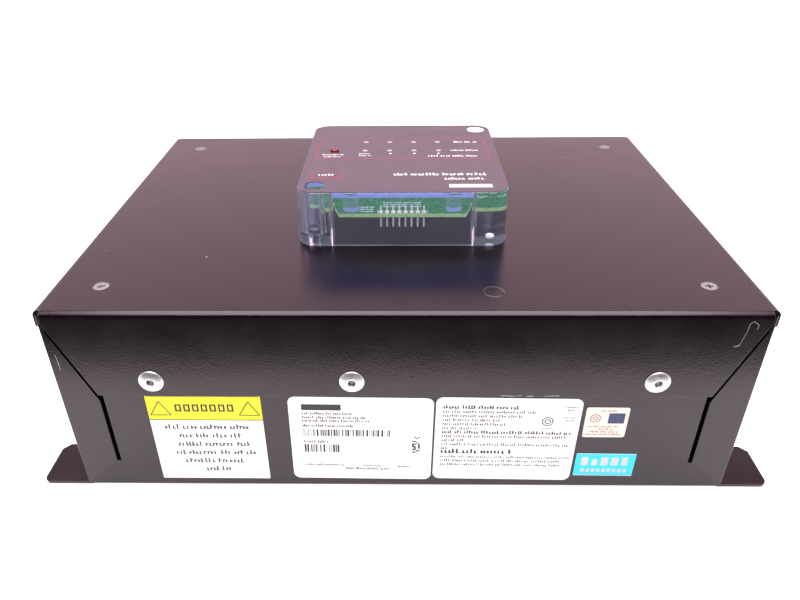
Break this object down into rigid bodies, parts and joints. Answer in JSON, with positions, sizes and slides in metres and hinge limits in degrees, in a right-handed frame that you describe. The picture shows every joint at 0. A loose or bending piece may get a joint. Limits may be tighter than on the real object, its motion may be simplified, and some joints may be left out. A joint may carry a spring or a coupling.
{
  "type": "surge protective device",
  "caption": "Wall-mounted surge protective device: black folded-steel case with corner mounting ears, riveted cover and a clear status-display module with a silence button.",
  "frame": {"origin": "under the centre of the back plate, on the plane that meets the wall or the table", "axes": "+X along the case's width, +Y from the labelled wall to the wire-entry wall, +Z out of the back plate through the display module"},
  "size_m": [0.3026, 0.197, 0.111],
  "materials": {
    "black_paint": "fine-textured black powder coat on folded 1.2 mm steel sheet",
    "aluminium": "bright blind-rivet aluminium",
    "zinc_steel": "bright zinc plate",
    "dark_steel": "dark plated steel",
    "green_board": "green solder mask over glass-epoxy",
    "black_plastic": "moulded black nylon",
    "ribbon_jacket": "grey ribbon cable",
    "varistor_coat": "blue epoxy coating",
    "fuse_body": "fibre fuse tube with metal ends",
    "clear_plastic": "clear moulded polycarbonate",
    "grey_film": "printed polyester film, grey, satin",
    "tinned_brass": "tinned square pins",
    "led_plastic": "water-clear 3 mm lamps",
    "red_plastic": "red push-button stem",
    "label_yellow": "printed polyester label, yellow band over white",
    "label_white": "printed white polyester label",
    "label_cream": "printed cream polyester label",
    "label_blue": "printed light-blue polyester label"
  },
  "bodies": {
    "case": {"rear_pan": "black_paint", "front_cover": "black_paint", "ground_stud": "black_paint", "front_rivet_1": "aluminium", "front_rivet_2": "aluminium", "front_rivet_3": "aluminium", "back_rivet_1": "aluminium", "back_rivet_2": "aluminium", "back_rivet_3": "aluminium", "cover_screw_1": "zinc_steel", "cover_screw_2": "zinc_steel", "cover_screw_3": "zinc_steel", "cover_screw_4": "zinc_steel", "board_post_1": "zinc_steel", "board_post_2": "zinc_steel", "board_post_3": "zinc_steel", "board_post_4": "zinc_steel", "power_board": "green_board", "display_board": "green_board", "terminal_block": "black_plastic", "ribbon_socket": "black_plastic", "wire_entry_bushing": "black_plastic", "tact_switch": "black_plastic", "alarm_buzzer": "black_plastic", "ribbon_cable": "ribbon_jacket", "varistor_1": "varistor_coat", "varistor_2": "varistor_coat", "varistor_3": "varistor_coat", "varistor_4": "varistor_coat", "thermal_fuse_1": "fuse_body", "thermal_fuse_2": "fuse_body", "thermal_fuse_3": "fuse_body", "thermal_fuse_4": "fuse_body", "display_housing": "clear_plastic", "display_overlay": "grey_film", "header_pin_1": "tinned_brass", "header_pin_2": "tinned_brass", "header_pin_3": "tinned_brass", "header_pin_4": "tinned_brass", "header_pin_5": "tinned_brass", "header_pin_6": "tinned_brass", "header_pin_7": "tinned_brass", "header_pin_8": "tinned_brass", "status_led_1": "led_plastic", "status_led_2": "led_plastic", "status_led_3": "led_plastic", "status_led_4": "led_plastic", "status_led_5": "led_plastic", "status_led_6": "led_plastic", "status_led_7": "led_plastic", "status_led_8": "led_plastic", "module_screw_1": "dark_steel", "module_screw_2": "dark_steel", "two_tone_label": "label_yellow", "barcode_label": "label_white", "rating_label": "label_white", "listing_label": "label_cream", "blue_label": "label_blue"},
    "silence_button": {"silence_button": "red_plastic"}
  },
  "joints": [
    {"name": "silence_button_press", "type": "slide", "parent": "case", "child": "silence_button", "axis": [0, 0, -1], "range_m": [0, 0.0005], "stiffness_N_per_m": 2400, "springref_m": -0.0002}
  ]
}
